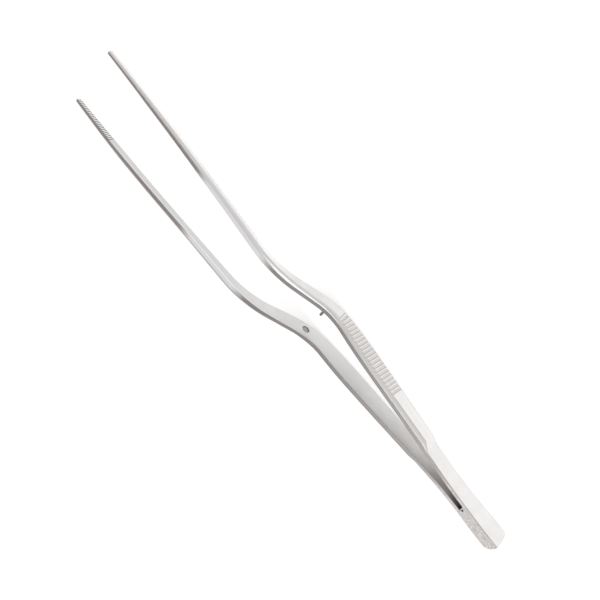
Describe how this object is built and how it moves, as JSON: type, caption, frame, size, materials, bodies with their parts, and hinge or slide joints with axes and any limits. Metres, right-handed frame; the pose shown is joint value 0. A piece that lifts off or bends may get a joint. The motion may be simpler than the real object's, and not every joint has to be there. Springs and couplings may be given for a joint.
{
  "type": "aquascaping tweezers",
  "caption": "Long bayonet tweezers with ridged grips, offset toothed jaws, and a guide pin and hole; the arms flex and spring back.",
  "frame": {"origin": "bottom centre of the whole object's box, with the arms at rest (open)", "axes": "+X from the heel to the jaw tips, +Y from the near arm to the far arm (the way the arms open), +Z the way the bayonet bend offsets the jaws"},
  "size_m": [0.2698, 0.0336, 0.029],
  "materials": {
    "satin_steel": "satin stainless steel, fine cross grain on the flats, bead blasted heel sides",
    "pin_steel": "plain turned stainless steel"
  },
  "bodies": {
    "heel": {"heel_spacer": "satin_steel", "near_heel_tab": "satin_steel", "far_heel_tab": "satin_steel", "near_spring_leaf": "satin_steel", "far_spring_leaf": "satin_steel"},
    "near_arm": {"near_grip": "satin_steel", "guide_pin": "pin_steel", "near_shank_neck": "satin_steel"},
    "near_jaw": {"near_jaw": "satin_steel"},
    "far_arm": {"far_grip": "satin_steel", "far_shank_neck": "satin_steel"},
    "far_jaw": {"far_jaw": "satin_steel"}
  },
  "joints": [
    {"name": "near_arm_flex", "type": "hinge", "parent": "heel", "child": "near_arm", "pos_m": [-0.0999, -0.00228, 0.006], "axis": [0, 0, 1], "range_deg": [0, 4.35], "stiffness_Nm_per_rad": 4.3, "deforming": ["near_spring_leaf"]},
    {"name": "far_arm_flex", "type": "hinge", "parent": "heel", "child": "far_arm", "pos_m": [-0.0999, 0.00228, 0.006], "axis": [0, 0, 1], "range_deg": [-4.35, 0], "stiffness_Nm_per_rad": 4.3, "deforming": ["far_spring_leaf"]},
    {"name": "near_jaw_flex", "type": "hinge", "parent": "near_arm", "child": "near_jaw", "pos_m": [0.03632, -0.01261, 0.0262], "axis": [0, 0, 1], "range_deg": [-2.1, 0], "stiffness_Nm_per_rad": 3, "deforming": ["near_shank_neck"]},
    {"name": "far_jaw_flex", "type": "hinge", "parent": "far_arm", "child": "far_jaw", "pos_m": [0.03632, 0.01261, 0.0262], "axis": [0, 0, 1], "range_deg": [0, 2.1], "stiffness_Nm_per_rad": 3, "deforming": ["far_shank_neck"]}
  ],
  "couplings": [
    {"joint": "far_arm_flex", "follows": "near_arm_flex", "ratio": -1},
    {"joint": "near_jaw_flex", "follows": "near_arm_flex", "ratio": -0.48},
    {"joint": "far_jaw_flex", "follows": "near_arm_flex", "ratio": 0.48}
  ]
}
